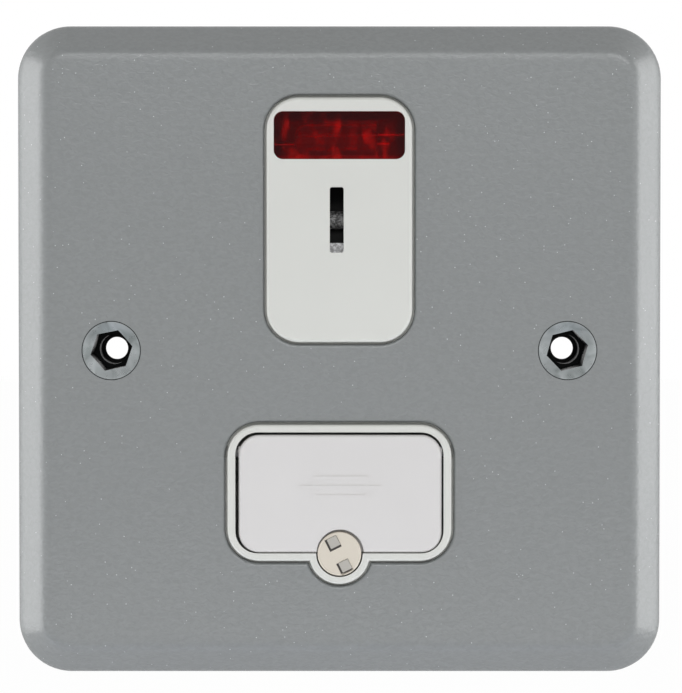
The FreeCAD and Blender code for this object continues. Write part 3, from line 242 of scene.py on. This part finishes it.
def zinc(name="zinc", dullness=1.0, bush=None):
    """Zinc plate with turned streaks. On a bush, whose box is given, the socket is
    painted near black as shade, and the gap round its nose has a fine ring of painted shade."""
    low, high = (Vector(tone) * dullness for tone in ((0.30, 0.33, 0.33), (0.52, 0.55, 0.56)))
    g = Graph(name)
    streak = g.noise(scale=900.0, detail=4.0, stretch=(1.0, 0.25, 1.0), roughness=0.7)
    blotch = g.noise(scale=420.0, distortion=0.8)
    tone = g.mix(g.between(blotch, 0.3, 0.7), low, high)
    rough = g.between(streak, 0.3, 0.7, 0.22, 0.42)
    metallic, specular = 1.0, 0.5
    if bush is not None:
        depth = g.math("SUBTRACT", g.along("Y"), bush[0][1])
        radius = g.around(bush)
        inside = g.between(radius, BUSH_SOCKET + 0.05 * MM, BUSH_SOCKET)
        deep_shade = g.between(depth, SHADE_START, SHADE_FULL)
        gap_shade_line = g.between(radius, BUSH_NOSE - 0.16 * MM, BUSH_NOSE - 0.08 * MM)
        near = g.between(depth, GAP_SHADE_END, GAP_SHADE_FULL)
        # Painted shade: the socket past its shade depth and the gap round the nose are
        # coloured near black and made dull.
        painted_shade = g.math("MAXIMUM", g.math("MULTIPLY", inside, deep_shade),
                      g.math("MULTIPLY", gap_shade_line, near))
        tone = g.mix(painted_shade, tone, (0.005, 0.006, 0.006))
        metallic = g.between(painted_shade, 0.0, 1.0, 1.0, 0.0)
        specular = g.between(painted_shade, 0.0, 1.0, 0.5, 0.05)
    g.surface(tone, rough, g.bump(streak, 0.02 * MM, 0.4), Metallic=metallic,
              Specular_IOR_Level=specular)
    return g.material


def metal(name, low, high, rough):
    """Plain worked metal with fine drawn marks."""
    g = Graph(name)
    marks = g.noise(scale=600.0, detail=3.0, stretch=(1.0, 1.0, 0.2), roughness=0.65)
    tone = g.mix(g.between(marks, 0.3, 0.7), low, high)
    spread = g.between(marks, 0.3, 0.7, rough - 0.06, rough + 0.08)
    g.surface(tone, spread, g.bump(marks, 0.01 * MM, 0.3), Metallic=1.0)
    return g.material


def plastic(name, low, high, rough, depth=0.004 * MM, shade=None, **more):
    """Moulded plastic: slight mottling and a fine spark-eroded grain. A shade is a
    function that colours some of it again."""
    g = Graph(name)
    mottle = g.noise(scale=60.0)
    fine = g.noise(scale=1800.0, roughness=0.6)
    tone = g.mix(g.between(mottle, 0.3, 0.7), low, high)
    if shade is not None:
        tone = shade(g, tone)
    spread = g.between(fine, 0.3, 0.7, rough - 0.04, rough + 0.05)
    g.surface(tone, spread, g.bump(fine, depth, 0.5), **more)
    return g.material


def stub_painted_shade(g, tone):
    """Painted shade on the hinge stubs at the two ends of the fuse carrier, which show in the
    gap round it.
    """
    across = g.math("ABSOLUTE", g.math("SUBTRACT", g.along("X"), CARRIER_SHIFT))
    stubs = g.between(across, CARRIER_HALF, CARRIER_HALF + 0.02 * MM)
    return g.mix(stubs, tone, (0.05, 0.05, 0.05))


def latch_pegs(g, tone):
    """Greyer pegs on the latch's face, in wells coloured with painted shade."""
    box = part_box("latch_head")
    depth = g.math("SUBTRACT", g.along("Y"), box[0][1])
    inside = g.between(g.around(box), LATCH_INSIDE + 0.05 * MM, LATCH_INSIDE)
    well_shade = g.math("MULTIPLY", g.between(depth, WELL_START - 0.06 * MM, WELL_START),
                   g.between(depth, WELL_END + 0.06 * MM, WELL_END))
    # Painted shade in the wells round the pegs.
    tone = g.mix(g.math("MULTIPLY", inside, well_shade), tone, (0.10, 0.09, 0.08))
    return g.mix(g.between(depth, PEG_DEPTH + 0.03 * MM, PEG_DEPTH), tone, (0.45, 0.43, 0.39))


def red_lens():
    """Dark red plastic with painted highlights in streaks and painted shade along its head
    and sides, through which the lamp and its shelf show faintly."""
    g = Graph("red_lens")
    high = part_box("neon_lens")[1]
    # Painted shade along the lens's head and sides.
    sides = g.between(g.math("ABSOLUTE", g.along("X")), high[0] - 2.2 * MM, high[0] - 1.3 * MM)
    head = g.between(g.along("Z"), high[2] - 1.9 * MM, high[2] - 1.2 * MM)
    rim_shade = g.math("MAXIMUM", sides, head)
    cloud = g.noise(scale=260.0)
    streaks = g.noise(scale=700.0, detail=3.0, distortion=0.5, stretch=(1.0, 1.0, 0.45))
    # Painted highlights: bright red streaks.
    painted_glints = g.between(streaks, 0.52, 0.66)
    tone = g.mix(painted_glints, (0.16, 0.014, 0.015), (1.0, 0.020, 0.018))
    tone = g.mix(g.math("MULTIPLY", rim_shade, 0.85), tone, (0.05, 0.006, 0.008))
    g.surface(tone, g.between(cloud, 0.3, 0.7, 0.06, 0.12),
              g.bump(cloud, 0.01 * MM, 0.2), IOR=1.3)
    clear = g.add("ShaderNodeBsdfTransparent")
    g.feed_color(clear.inputs["Color"], LENS_TINT)
    g.mixed_with(clear, g.between(rim_shade, 0.0, 1.0, LENS_CLEAR, LENS_RIM_CLEAR))
    return g.material


def rough_steel(name, low, high):
    """Steel worn rough, as the key slot shows it."""
    g = Graph(name)
    grit = g.noise(scale=2600.0, detail=4.0, roughness=0.75)
    tone = g.mix(g.between(grit, 0.42, 0.58), low, high)
    g.surface(tone, g.between(grit, 0.3, 0.7, 0.55, 0.75), g.bump(grit, 0.06 * MM),
              Metallic=0.6)
    return g.material


def clear_glass():
    """Slightly rippled glass."""
    g = Graph("clear_glass")
    ripple = g.noise(scale=300.0, detail=1.0)
    g.surface((0.92, 0.93, 0.93), g.between(ripple, 0.3, 0.7, 0.01, 0.04),
              g.bump(ripple, 0.01 * MM, 0.2), Transmission_Weight=0.95, IOR=1.5)
    return g.material


look = {
    "hammered_paint": hammered_paint(),
    "zinc": zinc(),
    "nylon": plastic("nylon", (0.012, 0.012, 0.012), (0.020, 0.020, 0.020), rough=0.6,
                     Specular_IOR_Level=0.2),
    "white_moulding": plastic("white_moulding", (0.660, 0.667, 0.632),
                              (0.680, 0.687, 0.652), rough=0.36),
    "red_lens": red_lens(),
    "lamp_glass": clear_glass(),
    "resistor_coat": plastic("resistor_coat", (0.50, 0.36, 0.20), (0.60, 0.46, 0.28),
                             rough=0.4),
    "brass": metal("brass", (0.58, 0.42, 0.18), (0.72, 0.55, 0.27), rough=0.30),
    "silver": metal("silver", (0.72, 0.72, 0.72), (0.86, 0.86, 0.85), rough=0.25),
    "plated_cap": metal("plated_cap", (0.60, 0.60, 0.58), (0.74, 0.74, 0.72), rough=0.24),
    "spring_bronze": metal("spring_bronze", (0.55, 0.35, 0.20), (0.66, 0.45, 0.28),
                           rough=0.32),
    "steel": metal("steel", (0.36, 0.36, 0.37), (0.55, 0.56, 0.57), rough=0.34),
    "black_moulding": plastic("black_moulding", (0.006, 0.006, 0.006),
                              (0.012, 0.012, 0.012), rough=0.6, Specular_IOR_Level=0.2),
    "grey_moulding": plastic("grey_moulding", (0.44, 0.44, 0.42), (0.50, 0.50, 0.48),
                             rough=0.5, depth=0.01 * MM),
    "ceramic": plastic("ceramic", (0.72, 0.70, 0.65), (0.80, 0.78, 0.73), rough=0.4),
    "cream_moulding": plastic("cream_moulding", (0.65, 0.60, 0.51), (0.70, 0.645, 0.555),
                              rough=0.4, shade=latch_pegs),
}

# Pieces that look different from the rest of their slot.
# The bushes get painted shade in their sockets and round their noses.
special = {name: zinc(name, BUSH_DULLNESS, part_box(name))
           for name in ("fixing_bush_left", "fixing_bush_right")}
# The fuse carrier's hinge stubs get painted shade.
special["fuse_carrier"] = plastic("carrier_white", (0.675, 0.662, 0.655),
                                  (0.695, 0.682, 0.675), rough=0.36, shade=stub_painted_shade)
special["rocker_pivot_pin"] = rough_steel("rough_pin", (0.06, 0.06, 0.06), (0.42, 0.42, 0.42))
special["rocker_wear_pad"] = rough_steel("rough_pad", (0.40, 0.40, 0.41), (0.85, 0.85, 0.87))

slots = {part["node"]: part["material_slot"] for part in frame["record"]["subparts"]}
for name, piece in nodes.items():
    piece.data.materials.clear()
    piece.data.materials.append(special.get(name, look[slots[name]]))


# Light

def seen_directly(tree):
    """One for the rays of the camera, of reflections and of clear plastic, else zero."""
    path = tree.nodes.new("ShaderNodeLightPath")
    seen = path.outputs["Is Camera Ray"]
    for name in ("Is Glossy Ray", "Is Transmission Ray"):
        either = tree.nodes.new("ShaderNodeMath")
        either.operation = "MAXIMUM"
        tree.links.new(seen, either.inputs[0])
        tree.links.new(path.outputs[name], either.inputs[1])
        seen = either.outputs[0]
    return seen


def white_light(tree, strength):
    """A white background of a given strength."""
    background = tree.nodes.new("ShaderNodeBackground")
    background.inputs["Color"].default_value = (1.0, 1.0, 1.0, 1.0)
    background.inputs["Strength"].default_value = strength
    return background.outputs[0]


def studio():
    """The world: soft light from all round, seen as plain white."""
    world = bpy.data.worlds.new("studio")
    bpy.context.scene.world = world
    world.use_nodes = True
    tree = world.node_tree
    tree.nodes.clear()
    blend = tree.nodes.new("ShaderNodeMixShader")
    tree.links.new(seen_directly(tree), blend.inputs["Fac"])
    tree.links.new(white_light(tree, AMBIENT), blend.inputs[1])
    tree.links.new(white_light(tree, 1.0), blend.inputs[2])
    output = tree.nodes.new("ShaderNodeOutputWorld")
    tree.links.new(blend.outputs[0], output.inputs["Surface"])


def softbox(name, place, width, height, power, color=(1.0, 1.0, 1.0)):
    """A rectangular lamp that faces the middle of the plate."""
    lamp = bpy.data.lights.new(name, "AREA")
    lamp.shape = "RECTANGLE"
    lamp.size, lamp.size_y = width, height
    lamp.energy = power
    lamp.color = color
    holder = bpy.data.objects.new(name, lamp)
    holder.location = place
    holder.rotation_euler = (-Vector(place)).to_track_quat("-Z", "Y").to_euler()
    bpy.context.collection.objects.link(holder)


studio()
softbox("key", (0.1, -1.1, 0.42), width=0.8, height=0.16, power=3.35)
softbox("low", (0.0, -0.8, -0.18), width=0.8, height=0.1, power=0.42)
softbox("under", (0.0, -0.10, -0.21), width=0.8, height=0.1, power=0.30,
        color=(0.82, 0.87, 1.0))
for word, side in (("left", -1), ("right", 1)):
    softbox("front_" + word, (side * 0.75, -0.85, -0.08), width=0.5, height=0.5, power=0.6)
    softbox("side_" + word, (side * 0.58, -0.03, 0.0), width=0.3, height=0.7, power=2.0)


# Floor

def floor_paper():
    """Pale paper that the camera sees as nearly white, with the shadows on it."""
    g = Graph("floor")
    grain = g.noise(scale=20.0)
    tone = g.mix(g.between(grain, 0.3, 0.7), (0.86, 0.86, 0.86), (0.88, 0.88, 0.88))
    g.surface(tone, 0.9)
    g.mixed_with(g.add("ShaderNodeEmission"),
                 g.math("MULTIPLY", seen_directly(g.tree), FLOOR_WHITE))
    return g.material


mesh = bpy.data.meshes.new("floor")
work = bmesh.new()
bmesh.ops.create_grid(work, x_segments=2, y_segments=2, size=FLOOR_REACH)
work.to_mesh(mesh)
work.free()
floor = bpy.data.objects.new("floor", mesh)
floor.location = (0, 0, plate_low[2] - FLOOR_GAP)
bpy.context.collection.objects.link(floor)
floor.data.materials.append(floor_paper())


# Camera, whose sensor spans the picture's longer side

elevation = math.radians(CAMERA_ELEVATION)
camera_data = bpy.data.cameras.new("camera")
camera_data.sensor_width = SENSOR
camera_data.lens = FACE_SCALE / MM * FACE_DISTANCE / IMAGE_HEIGHT * SENSOR
camera_data.clip_start = 0.01
camera = bpy.data.objects.new("camera", camera_data)
centre = Vector((0.0, plate_low[1], 0.0))
aim = centre + Vector((-CENTRE_RIGHT, 0.0, CENTRE_DOWN)) / FACE_SCALE * MM
back = Vector((0.0, -math.cos(elevation), math.sin(elevation)))
camera.location = aim + back * FACE_DISTANCE
camera.rotation_euler = (-back).to_track_quat("-Z", "Y").to_euler()
bpy.context.collection.objects.link(camera)
bpy.context.scene.camera = camera
bpy.context.scene.view_settings.view_transform = "Standard"
